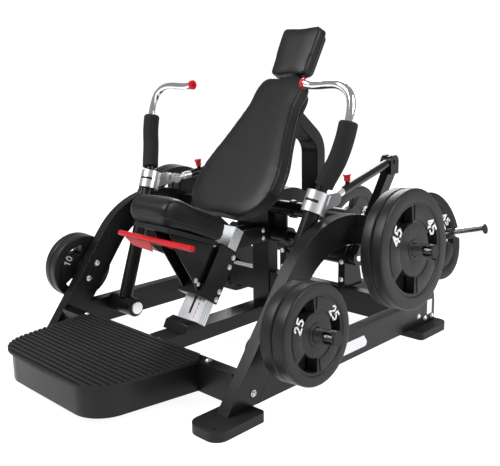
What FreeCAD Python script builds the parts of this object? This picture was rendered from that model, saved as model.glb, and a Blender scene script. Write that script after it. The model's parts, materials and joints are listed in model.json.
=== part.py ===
import FreeCAD, Part
import math
import os

# Plate-loaded lever press with a reclined bench, in millimetres.
# X runs across the machine, Y runs from the foot platform (-Y) to the weight
# arm (+Y), Z is up. The origin is on the floor, in the middle of the four
# anchor holes.

V = FreeCAD.Vector
os.makedirs("parts", exist_ok=True)
SIDES = (("left", -1), ("right", 1))

# ---------------------------------------------------------- driving dimensions
ARCH_X = 564.0            # outer face of each side arch
TUBE_W = 50.0             # frame tube, across
TUBE_D = 110.0            # frame tube, deep
WALL = 4.0                # frame tube wall
FOOT_H = 33.0             # moulded foot under each leg
ARCH_TOP = 595.0          # top of the arches
LEG_SLOPE = 53.2          # front leg, degrees from the floor
LEG_FRONT = -599.0        # front leg where it meets its foot
LEG_REAR = 675.0          # back of the rear leg
BACK_SLOPE = 40.0         # fall of the arch towards the rear leg
RUN = 0.05                # running clearance on a radius
SIDE_GAP = 0.3            # sliding clearance on a flat face
ANCHOR_X = 583.0
ANCHOR_Y = 672.0
ANCHOR_R = 5.5
COLUMN_HALF = 48.0        # half width of the central columns

ARM_PIVOT = (-262.0, 118.0)       # press arm pivot, Y and Z
WORK_PIVOT = (557.0, 286.0)       # weight arm pivot
LEVER_TOP = (600.0, 725.0)        # weight lever to link
ROD_EYE = (75.0, 643.0)           # link to press arm clamp
LEVER_X = 362.0                   # link at the weight lever, across
EYE_X = 454.0                     # link at the clamp, across
ARM_TUBE_R = 30.0
GRIP_TUBE_R = 22.0
HANDLE_R = 16.0
FOAM_R = 35.0
LINK_R = 18.5
LINK_BORE = 15.0 + RUN
ROD_R = 15.0
LOCK_R = 4.0

POST_TILT = 56.5                  # seat post, degrees from the floor
POST_FOOT = (-281.0, 138.0)       # lower front edge of the seat post
POST_HALF = 58.0
SLEEVE_HALF = POST_HALF + 10.0     # half width of the sleeve and the shoe on the post
POST_DEEP = 51.0
POST_LONG = 430.0

BACK_TILT = 52.3                  # back pad, degrees from the floor
BACK_FOOT = (-75.0, 585.0)        # lower front edge of the back pad
PAD_T = 65.0
BOARD_T = 15.0
HEAD_FOOT = (339.0, 1110.0)
HEAD_TILT = 62.7
HEAD_T = 55.0

HORN_R = 24.5
BORE_R = 25.25
HORN_TILT = 4.0
WORK_HORN_TILT = 15.0


# --------------------------------------------------------------------- helpers
def save(name, *shapes):
    """One STEP per sub-part; several solids in one node stay separate."""
    shape = shapes[0] if len(shapes) == 1 else Part.makeCompound(list(shapes))
    shape.exportStep("parts/" + name + ".step")


def mirrored(shape):
    return shape.mirror(V(0, 0, 0), V(1, 0, 0))


def both(shape):
    return shape, mirrored(shape)


def box(x0, x1, y0, y1, z0, z1):
    return Part.makeBox(x1 - x0, y1 - y0, z1 - z0, V(x0, y0, z0))


def rod(radius, start, end):
    """Cylinder between two points."""
    start = V(*start)
    end = V(*end)
    return Part.makeCylinder(radius, (end - start).Length, start, end - start)


def rod_x(radius, x0, x1, yz):
    """Cylinder along X."""
    return rod(radius, (x0, yz[0], yz[1]), (x1, yz[0], yz[1]))


def outline(points, place):
    """Closed face through corners (a, b) or (a, b, radius), placed by place(a, b)."""
    count = len(points)
    edges = []
    ends = []
    for i in range(count):
        here = V(points[i][0], points[i][1], 0)
        radius = points[i][2] if len(points[i]) > 2 else 0.0
        before = (V(points[i - 1][0], points[i - 1][1], 0) - here).normalize()
        nxt = points[(i + 1) % count]
        after = (V(nxt[0], nxt[1], 0) - here).normalize()
        if radius <= 0:
            ends.append((here, None, here))
            continue
        half = before.getAngle(after) / 2
        reach = radius / math.tan(half)
        centre = here + (before + after).normalize() * (radius / math.sin(half))
        mid = centre + (here - centre).normalize() * radius
        ends.append((here + before * reach, mid, here + after * reach))
    for i in range(count):
        start, mid, stop = ends[i]
        if mid is not None:
            arc = Part.Arc(place(start.x, start.y), place(mid.x, mid.y), place(stop.x, stop.y))
            edges.append(arc.toShape())
        following = ends[(i + 1) % count][0]
        if (following - stop).Length > 1e-6:
            edges.append(Part.makeLine(place(stop.x, stop.y), place(following.x, following.y)))
    return Part.Face(Part.Wire(edges))


def side_plate(points, x0, x1):
    """Side-view outline of (y, z[, radius]) corners, extruded across."""
    face = outline(points, lambda a, b: V(x0, a, b))
    return face.extrude(V(x1 - x0, 0, 0))


def floor_plate(points, z0, z1):
    """Plan outline of (x, y[, radius]) corners, extruded upwards."""
    face = outline(points, lambda a, b: V(a, b, z0))
    return face.extrude(V(0, 0, z1 - z0))


def offset_line(points, shift):
    """The same bent line moved sideways to its right, its radii kept concentric."""
    moved = []
    for i, point in enumerate(points):
        here = V(point[0], point[1], 0)
        dirs = []
        if i > 0:
            dirs.append((here - V(points[i - 1][0], points[i - 1][1], 0)).normalize())
        if i < len(points) - 1:
            dirs.append((V(points[i + 1][0], points[i + 1][1], 0) - here).normalize())
        normals = [V(d.y, -d.x, 0) for d in dirs]
        mean = (normals[0] + normals[-1]).normalize()
        spot = here + mean * (shift / mean.dot(normals[0]))
        radius = max(point[2] - shift, 1.0) if len(point) > 2 else 0.0
        moved.append((spot.x, spot.y, radius))
    return moved


def bent_bar(points, near, far, x0, x1):
    """Bar between two offsets of one bent line."""
    first = offset_line(points, near)
    second = offset_line(points, far)
    return side_plate(first + second[::-1], x0, x1)


def unit(degrees):
    return math.cos(math.radians(degrees)), math.sin(math.radians(degrees))


def leaning(foot, degrees):
    """Side-view place function: along a leaning line and behind it."""
    along = unit(degrees)

    def spot(length, behind):
        return (foot[0] + along[0] * length + along[1] * behind,
                foot[1] + along[1] * length - along[0] * behind)
    return spot


post_at = leaning(POST_FOOT, POST_TILT)
back_at = leaning(BACK_FOOT, BACK_TILT)
head_at = leaning(HEAD_FOOT, HEAD_TILT)


def pipe(edge, radius, bore=0.0):
    """Round tube along one curved edge."""
    start = edge.valueAt(edge.FirstParameter)
    way = edge.tangentAt(edge.FirstParameter)
    path = Part.Wire([edge])
    body = path.makePipeShell([Part.Wire([Part.makeCircle(radius, start, way)])], True, False)
    body = Part.Solid(body) if body.ShapeType == "Shell" else body
    if bore > 0:
        return body.cut(pipe(edge, bore))
    return body


def hex_bolt(radius, height, base, way):
    """Bolt head with a washer, its shank left inside the tube wall."""
    way = V(*way)
    washer = Part.makeCylinder(radius * 1.25, 2, V(*base), way)
    head = Part.makeCylinder(radius, height, V(*base) + way * 2, way)
    return washer.fuse(head)


# ---------------------------------------------------------------- side arches
leg = unit(LEG_SLOPE)
leg_bend_y = LEG_FRONT + (ARCH_TOP - FOOT_H) * leg[0] / leg[1]
rear_bend_y = 182.5
rear_bend_z = ARCH_TOP - (LEG_REAR - rear_bend_y) * math.tan(math.radians(BACK_SLOPE))
ARCH_LINE = [
    (LEG_FRONT, FOOT_H),
    (leg_bend_y, ARCH_TOP, 386.0),
    (rear_bend_y, ARCH_TOP, 460.0),
    (LEG_REAR, rear_bend_z, 150.0),
    (LEG_REAR, FOOT_H),
]
# the two leg ends are cut level with the floor
ARCH_LONG = [
    (LEG_FRONT - 100 * leg[0], FOOT_H - 100 * leg[1]),
    ARCH_LINE[1],
    ARCH_LINE[2],
    ARCH_LINE[3],
    (LEG_REAR, FOOT_H - 100),
]
below_feet = box(-800, 800, -900, 900, FOOT_H - 300, FOOT_H)


def arch_solid(near, far, x0, x1):
    return bent_bar(ARCH_LONG, near, far, x0, x1).cut(below_feet)


arch_inner_x = ARCH_X - TUBE_W
arch_block = arch_solid(0, TUBE_D, arch_inner_x, ARCH_X)
arch_hollow = arch_solid(WALL, TUBE_D - WALL, arch_inner_x + WALL, ARCH_X - WALL)
HORNS = {"rear": (205.0, 450.0), "front": (-365.0, 278.0)}
horn_way = unit(HORN_TILT)


def horn_point(which, x):
    """Point on a storage horn's axis at a given X."""
    y, z = HORNS[which]
    return (x, y, z + (x - ARCH_X) * horn_way[1] / horn_way[0])


right_arch = arch_block.cut(arch_hollow)
for which in HORNS:
    flange = rod_x(46, ARCH_X, ARCH_X + 8, HORNS[which])
    right_arch = right_arch.fuse(flange)
save("right_arch", right_arch)
save("left_arch", mirrored(right_arch))


# ------------------------------------------------------------------ base frame
def tube_y(x0, x1, y0, y1, z0, z1):
    return box(x0, x1, y0, y1, z0, z1).cut(
        box(x0 + WALL, x1 - WALL, y0, y1, z0 + WALL, z1 - WALL))


rail_top = FOOT_H + TUBE_D
rail = tube_y(arch_inner_x, ARCH_X, LEG_FRONT, LEG_REAR, FOOT_H, rail_top)
arch_inside = bent_bar(ARCH_LONG, 0, 400, arch_inner_x - 1, ARCH_X + 1)
arch_outer = side_plate([
    (-462.0, FOOT_H), (-462.0 + TUBE_D * leg[0] / leg[1], rail_top),
    (LEG_REAR - TUBE_D, rail_top), (LEG_REAR - TUBE_D, FOOT_H)], arch_inner_x, ARCH_X)
rail = rail.common(arch_outer).cut(arch_block)
save("right_base_rail", rail)
save("left_base_rail", mirrored(rail))

FRONT_TUBE = (-525.0, -475.0)
REAR_TUBE = (507.0, 557.0)


def tube_x(y0, y1):
    return box(-arch_inner_x, arch_inner_x, y0, y1, FOOT_H, rail_top).cut(
        box(-arch_inner_x, arch_inner_x, y0 + WALL, y1 - WALL, FOOT_H + WALL, rail_top - WALL))


save("front_cross_tube", tube_x(*FRONT_TUBE))
STUB_X = (158.0, 208.0)
stub = tube_y(STUB_X[0], STUB_X[1], REAR_TUBE[1], 690.0, FOOT_H + 40, rail_top)
save("rear_cross_tube", tube_x(*REAR_TUBE).fuse(stub).fuse(mirrored(stub)))
save("centre_rail", tube_y(-COLUMN_HALF, COLUMN_HALF, FRONT_TUBE[1], REAR_TUBE[0], 58.0, 118.0))

# --------------------------------------------------------------------- columns
board_rear = PAD_T + BOARD_T
low_front = 159.0
low_rear = 219.0
high_front = 492.0
column = side_plate([
    (low_front, 118.0), (low_front, 615.0, 50.0), (345.0, 615.0, 160.0),
    (high_front, 560.0), (high_front, 500.0), (low_rear, 500.0, 25.0), (low_rear, 118.0)],
    -COLUMN_HALF, COLUMN_HALF)
strut_y = (168.0, 232.0)


def board_height(y):
    """Height of the back board's rear face at a given Y."""
    start = back_at(0, board_rear)
    return start[1] + (y - start[0]) * math.tan(math.radians(BACK_TILT))


strut = side_plate([
    (strut_y[0], 605.0), (strut_y[0], board_height(strut_y[0])),
    (strut_y[1], board_height(strut_y[1])), (strut_y[1], 605.0)], -30.0, 30.0)
save("lower_column", column.fuse(strut))

stub_top = back_at(567.0, board_rear)
back_way = unit(BACK_TILT)
bend_z = stub_top[1] - (high_front + 60.0 - stub_top[0]) * back_way[0] / back_way[1]
neck = [
    (stub_top[0], stub_top[1]),
    (high_front + 60.0, bend_z, 140.0),
    (high_front + 60.0, 500.0),
]
save("upper_column", bent_bar(neck, 0, 60.0, -COLUMN_HALF, COLUMN_HALF))

# --------------------------------------------------- tubes across and the stops
CROSS_YZ = (189.0, 551.0)
LOWER_YZ = (189.0, 431.0)
upper = rod_x(31, COLUMN_HALF, 440, CROSS_YZ).fuse(rod_x(38, 160, 182, CROSS_YZ))
upper = upper.fuse(box(440, arch_inner_x, 149, 229, 505, 553))
lower = rod_x(31, COLUMN_HALF, 130, LOWER_YZ).fuse(rod_x(38, 130, 148, LOWER_YZ))
lower = lower.fuse(rod_x(22, 148, 200, LOWER_YZ))
web = box(COLUMN_HALF, 130, 184, 194, 450, 530)
stop_z = (169.0, 262.0)
stop_bar = box(COLUMN_HALF, 200, 164, 214, stop_z[0], stop_z[1])
side_frame = upper.fuse(lower).fuse(web)
save("cross_tubes", side_frame, mirrored(side_frame), stop_bar, mirrored(stop_bar))
bumper = rod(22, (173, 189, stop_z[0] - 14), (173, 189, stop_z[0]))
save("rubber_bumpers", *both(bumper))

# ------------------------------------------------------------------------ feet
FOOT_X = (482.0, 622.0)
FOOT_Y = (480.0, 700.0)
foot = floor_plate([
    (FOOT_X[0], FOOT_Y[0], 18), (FOOT_X[1], FOOT_Y[0], 18),
    (FOOT_X[1], FOOT_Y[1], 45), (FOOT_X[0], FOOT_Y[1], 45)], 0, FOOT_H)
anchor = rod(ANCHOR_R, (ANCHOR_X, ANCHOR_Y, -1), (ANCHOR_X, ANCHOR_Y, FOOT_H + 1))
foot = foot.cut(anchor)
feet = [foot, mirrored(foot)]
feet += [f.mirror(V(0, 0, 0), V(0, 1, 0)) for f in (foot, mirrored(foot))]
save("feet", *feet)

# -------------------------------------------------------------- foot platform
PLATE_FRONT = -935.0
PLATE_BACK = -485.0
mat_line = [
    (-315, PLATE_BACK), (315, PLATE_BACK), (360, -535, 20), (300, PLATE_FRONT + 14, 135),
    (0, PLATE_FRONT, 900), (-300, PLATE_FRONT + 14, 135), (-360, -535, 20)]


def housing_line(inset):
    front = PLATE_FRONT + 22 + inset
    side = 348 - inset
    nose = 286 - inset
    back = FRONT_TUBE[0] - (0 if inset == 0 else WALL)
    return [(-side, back), (side, back), (nose, front, 120), (-nose, front, 120)]


housing = floor_plate(housing_line(0), FOOT_H + 2, rail_top)
housing = housing.cut(floor_plate(housing_line(WALL), FOOT_H, rail_top - WALL))
save("platform_housing", housing)
mat = floor_plate(mat_line, rail_top, rail_top + 8)
ridge_zone = floor_plate(mat_line, rail_top + 8, rail_top + 12)
RIBS = 20
pitch = (PLATE_BACK - PLATE_FRONT - 24) / RIBS
for i in range(RIBS):
    y = PLATE_FRONT + 20 + pitch * i
    ridge = box(-400, 400, y, y + pitch * 0.62, rail_top + 8, rail_top + 12).common(ridge_zone)
    mat = mat.fuse(ridge)
save("platform_mat", mat)

# ------------------------------------------------------------- press arm pivot
PIN_R = 16.0
ARM_HUB_X = (352.0, arch_inner_x - 2.0)
pin = rod_x(PIN_R, ARM_HUB_X[0] - 8, arch_inner_x, ARM_PIVOT)
pin = pin.fuse(rod_x(26, ARM_HUB_X[0] - 12, ARM_HUB_X[0] - 1, ARM_PIVOT))
save("arm_pivot_pins", *both(pin))

# ------------------------------------------------------------ weight arm pivot
SHAFT_R = 20.0
BRACKET_X = (160.0, 198.0)
bracket = side_plate([
    (507, rail_top), (507, 305, 18), (535, 338, 25), (585, 338, 30), (612, 286, 30), (645, rail_top)],
    *BRACKET_X)
bracket = bracket.cut(rod_x(SHAFT_R + RUN, 150, 210, WORK_PIVOT))
save("work_pivot_brackets", *both(bracket))
SHAFT_X = 244.0
save("work_pivot_shaft", rod_x(SHAFT_R, -SHAFT_X, SHAFT_X, WORK_PIVOT))

# --------------------------------------------------------------- storage horns
HORN_END = 817.0
HORN_CAP = 4.0
FLANGE = ARCH_X + 8.0
STORED_AT = {"rear": 650.0, "front": 642.0}
face_keep = box(ARCH_X + 8, 900, -900, 900, 0, 900)
horns = []
caps = []
for which in HORNS:
    horn = rod(HORN_R, horn_point(which, ARCH_X), horn_point(which, HORN_END))
    horns += both(horn.common(face_keep))
    caps += both(rod(HORN_R - 0.3, horn_point(which, HORN_END), horn_point(which, HORN_END + HORN_CAP)))
save("storage_horns", *horns)
save("horn_caps", *caps)

# ------------------------------------------------------------------ seat post
post_line = [post_at(0, 0), post_at(POST_LONG, 0), post_at(POST_LONG, POST_DEEP), post_at(0, POST_DEEP)]
post_full = side_plate(post_line, -POST_HALF, POST_HALF)
hollow_line = [post_at(-10, WALL), post_at(POST_LONG + 10, WALL),
               post_at(POST_LONG + 10, POST_DEEP - WALL), post_at(-10, POST_DEEP - WALL)]
post = post_full.cut(side_plate(hollow_line, -POST_HALF + WALL, POST_HALF - WALL))
LOCK_S = 225.0
SEAT_TRAVEL = 85.0
SLOT_HALF = 6.0 + SIDE_GAP
slot_line = [post_at(40, -1), post_at(LOCK_S + 14, -1), post_at(LOCK_S + 14, WALL + 1), post_at(40, WALL + 1)]
post = post.cut(side_plate(slot_line, -SLOT_HALF, SLOT_HALF))
for z in (0.25, 0.5, 0.75):
    depth = POST_DEEP * z
    flute = [post_at(-1, depth - 3), post_at(POST_LONG + 1, depth - 3),
             post_at(POST_LONG + 1, depth + 3), post_at(-1, depth + 3)]
    cutter = side_plate(flute, POST_HALF - 1.5, POST_HALF + 5)
    post = post.cut(cutter).cut(mirrored(cutter))
rail_zone = box(-100, 100, -600, 500, 0, 118.0)
post = post.cut(rail_zone)
save("seat_post", post)
shoe = side_plate([
    (-342, 118), (-325, 150, 8), (-287, 157, 8), (-234, 121), (-231, 118)],
    -SLEEVE_HALF, SLEEVE_HALF)
save("seat_post_base", shoe.cut(post_full))
arm_plate = side_plate([(-58, 402), (low_front, 402), (low_front, 470), (-20, 470)], 36, 46)
arm_plate = arm_plate.cut(post_full)
save("post_brackets", *both(arm_plate))


# ----------------------------------------------------------------- back boards
# half outlines from the top centre down to the bottom centre: (half width, length)
BACK_SHAPE = [(0, 638), (92, 632), (124, 600), (134, 520), (155, 410), (184, 310), (214, 220),
              (224, 130), (206, 48), (142, -10), (0, -22)]


def pad_face(shape, at, behind, scale=1.0):
    """Smooth closed outline, alike on both sides, on a leaning plane."""
    middle = (shape[0][1] + shape[-1][1]) / 2
    ring = shape + [(-h, s) for h, s in shape[-2:0:-1]]
    spots = []
    for h, s in ring:
        y, z = at(middle + (s - middle) * scale, behind)
        spots.append(V(h * scale, y, z))
    curve = Part.BSplineCurve()
    curve.interpolate(spots, PeriodicFlag=True)
    return Part.Face(Part.Wire([curve.toShape()]))


def slab(shape, at, near, far, scale=1.0):
    face = pad_face(shape, at, near, scale)
    a = at(0, near)
    b = at(0, far)
    return face.extrude(V(0, b[0] - a[0], b[1] - a[1]))


HEAD_HALF = 108.0
HEAD_LONG = 214.0
back_pad = slab(BACK_SHAPE, back_at, 0, PAD_T)


def head_slab(near, far, inset):
    """Headrest block with round corners, narrower at its foot."""
    half = HEAD_HALF - inset
    low = inset
    high = HEAD_LONG - inset
    corners = [(half - 10, low, 24), (half, high, 24), (-half, high, 24), (-half + 10, low, 24)]
    face = outline(corners, lambda a, b: V(a, *head_at(b, near)))
    a = head_at(0, near)
    b = head_at(0, far)
    return face.extrude(V(0, b[0] - a[0], b[1] - a[1]))


head_pad = head_slab(0, HEAD_T, 0)
save("back_pad", back_pad)
save("headrest_pad", head_pad)
head_rear = HEAD_T + 12.0
save("pad_boards", slab(BACK_SHAPE, back_at, PAD_T, board_rear, 0.94),
     head_slab(HEAD_T, head_rear, 8))
strap_line = [head_at(110, head_rear), head_at(-8, head_rear) + (30.0,), back_at(640, board_rear) + (20.0,),
              back_at(574, board_rear)]
save("headrest_strap", bent_bar(strap_line, -8.0, 0, -32.0, 32.0))

# ------------------------------------------------------------------------ seat
seat_sleeve = side_plate([post_at(110, -50) + (10,), post_at(339, -50) + (10,), post_at(339, 57), post_at(250, 57),
                          post_at(190, 57), post_at(110, 57)],
                         -SLEEVE_HALF, SLEEVE_HALF)
gap_line = [post_at(100, -SIDE_GAP), post_at(350, -SIDE_GAP), post_at(350, POST_DEEP + SIDE_GAP),
            post_at(100, POST_DEEP + SIDE_GAP)]
seat_sleeve = seat_sleeve.cut(side_plate(gap_line, -POST_HALF - SIDE_GAP, POST_HALF + SIDE_GAP))
pin_from = post_at(LOCK_S, -64)
pin_to = post_at(LOCK_S, 9)
lock_axis = ((0,) + pin_from, (0,) + pin_to)
seat_sleeve = seat_sleeve.cut(rod(6.0 + RUN, *lock_axis))
save("seat_carriage", seat_sleeve)
save("seat_lock_pin", rod(6.0, *lock_axis).fuse(rod(9.0, (0,) + pin_from, (0,) + post_at(LOCK_S, -58))))

NOSE = (-450.0, 568.0)
SEAT_REAR = (-175.0, 463.0)
seat_fall = math.degrees(math.atan2(SEAT_REAR[1] - NOSE[1], SEAT_REAR[0] - NOSE[0]))
seat_at = leaning(NOSE, seat_fall)
seat_line = [NOSE + (30,), (-450, 693, 55), (-135, 540, 25), SEAT_REAR + (20,)]
save("seat_pad", side_plate(seat_line, -112, 112))
BOARD = 18.0
board_line = [seat_at(20, 0), seat_at(285, 0), seat_at(285, BOARD), seat_at(20, BOARD)]
save("seat_board", side_plate(board_line, -98, 98))
sleeve_block = side_plate([post_at(110, -50), post_at(339, -50), post_at(339, 57), post_at(110, 57)],
                          -SLEEVE_HALF, SLEEVE_HALF)
gusset = side_plate([seat_at(80, BOARD), seat_at(285, BOARD), post_at(338, -49), post_at(125, -49),
                     (-266, 300, 12), (-364, 470, 15)], 40, 49)
save("seat_gussets", *both(gusset.cut(sleeve_block)))

# release lever: a round bar in front of the gussets on two plates between them
LEVER_HINGE = (-322.0, 452.0)
LEVER_BAR = (-418.0, 497.0)
bar = rod_x(11, -217, 217, LEVER_BAR)
lever = bar
for x in (-38, 28):
    arm = side_plate([
        (LEVER_BAR[0] - 8, LEVER_BAR[1] - 9), (LEVER_BAR[0] - 5, LEVER_BAR[1] + 10),
        (LEVER_HINGE[0] + 4, LEVER_HINGE[1] + 15), (LEVER_HINGE[0] + 14, LEVER_HINGE[1] - 14)], x, x + 10)
    lever = lever.fuse(arm)
wing = outline([(-188, LEVER_BAR[1] - 8), (-188, LEVER_BAR[1] - 16), (-150, LEVER_BAR[1] - 42),
                (-30, LEVER_BAR[1] - 52), (-30, LEVER_BAR[1] - 8)],
               lambda a, b: V(a, LEVER_BAR[0] + 2 + 0.25 * (LEVER_BAR[1] - b), b))
lever = lever.fuse(wing.extrude(V(0, -3, 0)))
cross = rod_x(8, -38, 38, LEVER_HINGE)
save("seat_release_lever", lever.fuse(cross))

# -------------------------------------------------------------- weight arm
HUB_R = 46.0
HORN_Y = 1165.0
HORN_Z = 213.0
work_way = unit(WORK_HORN_TILT)
hub = rod_x(HUB_R, -BRACKET_X[0] + 1, BRACKET_X[0] - 1, WORK_PIVOT)
spine_half = 32.0
spine = side_plate([
    (WORK_PIVOT[0] + 10, WORK_PIVOT[1] - 30), (WORK_PIVOT[0] + 10, WORK_PIVOT[1] + 30),
    (HORN_Y, HORN_Z + 30), (HORN_Y, HORN_Z - 30)], -spine_half, spine_half)


def work_horn_point(x):
    return (x, HORN_Y, HORN_Z + abs(x) * work_way[1] / work_way[0])


COLLAR_X = 249.0
arm_core = hub.fuse(spine)
vee = rod(34, (0, HORN_Y, HORN_Z), work_horn_point(COLLAR_X))
arm_core = arm_core.fuse(vee).fuse(mirrored(vee))
arm_core = arm_core.fuse(Part.makeSphere(34, V(0, HORN_Y, HORN_Z)))
arm_core = arm_core.cut(rod_x(SHAFT_R + 0.02, -200, 200, WORK_PIVOT))
save("work_arm", arm_core)
WORK_HORN_END = 545.0
work_horn = rod(HORN_R, work_horn_point(COLLAR_X), work_horn_point(WORK_HORN_END))
# a shallow groove beside the loaded plate takes a spring collar
GROOVE_AT = 60.0
groove_base = V(*work_horn_point(COLLAR_X)) + V(work_way[0], 0, work_way[1]) * GROOVE_AT
groove_way = V(work_way[0], 0, work_way[1])
groove = Part.makeCylinder(HORN_R + 5, 3.0, groove_base, groove_way)
work_horn = work_horn.cut(groove.cut(Part.makeCylinder(HORN_R - 1.5, 3.0, groove_base, groove_way)))
save("work_horns", *both(work_horn))
work_cap = rod(HORN_R - 0.3, work_horn_point(WORK_HORN_END), work_horn_point(WORK_HORN_END + HORN_CAP))
save("work_horn_caps", *both(work_cap))

FORK_HALF = 28.0
TONGUE_HALF = 12.0
LINK_PIN_R = 8.0
lever_root = rod_x(42, BRACKET_X[1] + 2, SHAFT_X, WORK_PIVOT)

def lever_bar():
    """Box bar leaning outwards from the shaft end to the fork."""
    low = V(222, WORK_PIVOT[0], WORK_PIVOT[1])
    high = V(LEVER_X, LEVER_TOP[0] - 4, LEVER_TOP[1] - 42)
    way = high - low
    sections = []
    for spot in (low, high):
        corners = [spot + V(dx, dy, 0) for dx, dy in ((-20, -30), (20, -30), (20, 30), (-20, 30))]
        sections.append(Part.makePolygon(corners + corners[:1]))
    return Part.makeLoft(sections, True, True)


fork = rod_x(30, LEVER_X - FORK_HALF, LEVER_X + FORK_HALF, LEVER_TOP)
fork = fork.fuse(box(LEVER_X - FORK_HALF, LEVER_X + FORK_HALF, LEVER_TOP[0] - 30, LEVER_TOP[0] + 30,
                     LEVER_TOP[1] - 52, LEVER_TOP[1]))
fork = fork.cut(rod_x(40, LEVER_X - TONGUE_HALF - 1, LEVER_X + TONGUE_HALF + 1, LEVER_TOP))
fork = fork.fuse(rod_x(LINK_PIN_R, LEVER_X - FORK_HALF - 4, LEVER_X + FORK_HALF + 4, LEVER_TOP))
weight_lever = lever_root.fuse(lever_bar()).fuse(fork)
weight_lever = weight_lever.cut(rod_x(SHAFT_R + 0.02, 100, SHAFT_X, WORK_PIVOT))
save("work_levers", *both(weight_lever))

# ------------------------------------------------------------------ press arms
ARM_FOOT = V(425, -264, 148)
CLAMP_AT = V(481, -55, 645)
ARM_WAY = (CLAMP_AT - ARM_FOOT).normalize()
grip_points = [CLAMP_AT, V(507, -27, 724), V(533, 0, 794), V(551, 17, 865), V(558, 33, 930),
               V(556, 48, 985), V(541, 57, 1024), V(506, 63, 1050), V(420, 71, 1058), V(323, 74, 1063)]
grip_curve = Part.BSplineCurve()
grip_curve.interpolate(grip_points)


def curve_part(first, last):
    """Stretch of the grip curve between two of its points."""
    a = grip_curve.parameter(first)
    b = grip_curve.parameter(last)
    return grip_curve.toShape(a, b)


FOAM_LOW = V(507, -27, 724) - V(8, 8, 24)
FOAM_TOP = V(558, 33, 930)
arm_hub = rod_x(40, ARM_HUB_X[0], ARM_HUB_X[1], ARM_PIVOT)
arm_end = CLAMP_AT + ARM_WAY * 44
lower_arm = Part.makeCylinder(ARM_TUBE_R, (arm_end - ARM_FOOT).Length, ARM_FOOT, ARM_WAY)
upper_arm = pipe(curve_part(CLAMP_AT, FOAM_TOP), GRIP_TUBE_R)
press_arm = arm_hub.fuse(lower_arm).fuse(upper_arm)
press_arm = press_arm.cut(rod_x(PIN_R + RUN, 300, arch_inner_x, ARM_PIVOT))
foam_edge = curve_part(FOAM_LOW, FOAM_TOP)
foam = pipe(foam_edge, FOAM_R).cut(pipe(curve_part(CLAMP_AT, V(556, 48, 985)), GRIP_TUBE_R))
foam = foam.cut(lower_arm)
handle = pipe(curve_part(FOAM_TOP, V(323, 74, 1063)), HANDLE_R)
cap_way = V(-1, 0.03, 0.05).normalize()
handle_cap = Part.makeCylinder(20, 12, V(323, 74, 1063), cap_way)
handle_cap = handle_cap.cut(Part.makeCylinder(6, 8, V(323, 74, 1063) + cap_way * 5, cap_way))
handle = handle.cut(Part.makeCylinder(30, 40, V(323, 74, 1063), cap_way))

# split clamp with a lug beside the link's eye
clamp = Part.makeCylinder(44, 78, CLAMP_AT - ARM_WAY * 40, ARM_WAY)
lug_x = (EYE_X + 16.0, EYE_X + 40.0)
lug = side_plate([(-50, 608, 5), (-50, 668, 5), (58, 668, 12), (104, 643, 22), (58, 618, 12)], *lug_x)
clamp = clamp.fuse(lug).cut(Part.makeCylinder(ARM_TUBE_R + 0.02, 200, CLAMP_AT - ARM_WAY * 100, ARM_WAY))

for side, sign in SIDES:
    turn = (lambda s: s) if sign > 0 else mirrored
    save(side + "_press_arm", turn(press_arm))
    save(side + "_foam_sleeve", turn(foam))
    save(side + "_handle", turn(handle))
    save(side + "_handle_cap", turn(handle_cap))
    save(side + "_clamp", turn(clamp))

# ----------------------------------------------------------------------- links
EYE = V(EYE_X, ROD_EYE[0], ROD_EYE[1])
TOP = V(LEVER_X, LEVER_TOP[0], LEVER_TOP[1])
LINK_WAY = (TOP - EYE).normalize()
link_long = (TOP - EYE).Length


def on_link(distance):
    return EYE + LINK_WAY * distance


def link_rod_shape():
    eye = rod_x(22, EYE_X - 12, EYE_X + 12, ROD_EYE)
    ball = rod_x(10, EYE_X - 15, EYE_X + 15, ROD_EYE)
    neck_rod = rod(12, EYE, on_link(45))
    joint = rod(17, on_link(40), on_link(76))
    inner = rod(ROD_R, on_link(70), on_link(330))
    shape = eye.fuse(neck_rod).fuse(joint).fuse(inner).fuse(ball)
    groove = Part.makeBox(LOCK_R * 2 + 0.4, 90, 12, V(-LOCK_R - 0.2, -20, 8))
    groove.Placement = FreeCAD.Placement(on_link(135), FreeCAD.Rotation(
        V(-1, 0, 0).cross(LINK_WAY).cross(LINK_WAY), LINK_WAY, V(0, 0, 1), "ZYX"))
    return shape.cut(groove)


LOCK_AT = 132.0
LOCK_UP = (V(0, 0, 1) - LINK_WAY * LINK_WAY.z).normalize()


def link_tube_shape():
    body = rod(LINK_R, on_link(80), on_link(link_long - 46))
    boss = Part.makeCylinder(9, LINK_R + 10, on_link(LOCK_AT), LOCK_UP)
    body = body.fuse(boss).cut(rod(LINK_BORE, on_link(70), on_link(400)))
    tongue = rod(7.5, on_link(link_long - 50), TOP)
    end = rod_x(24, LEVER_X - TONGUE_HALF, LEVER_X + TONGUE_HALF, LEVER_TOP)
    body = body.fuse(tongue).fuse(end)
    body = body.cut(rod_x(LINK_PIN_R + RUN, 300, 450, LEVER_TOP))
    return body.cut(Part.makeCylinder(LOCK_R + RUN, 60, on_link(LOCK_AT), LOCK_UP))


def pull_pin_shape():
    foot_at = on_link(LOCK_AT) + LOCK_UP * (ROD_R - 4)
    shank = Part.makeCylinder(LOCK_R, 30, foot_at, LOCK_UP)
    knob_at = on_link(LOCK_AT) + LOCK_UP * (LINK_R + 10 + SIDE_GAP)
    knob = Part.makeCylinder(13, 26, knob_at, LOCK_UP).fuse(Part.makeCylinder(16, 8, knob_at + LOCK_UP * 20, LOCK_UP))
    return shank.fuse(knob)


link_rod = link_rod_shape()
link_tube = link_tube_shape()
pull_pin = pull_pin_shape()
for side, sign in SIDES:
    turn = (lambda s: s) if sign > 0 else mirrored
    save(side + "_link_rod", turn(link_rod))
    save(side + "_link_tube", turn(link_tube))
    save(side + "_pull_pin", turn(pull_pin))


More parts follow.
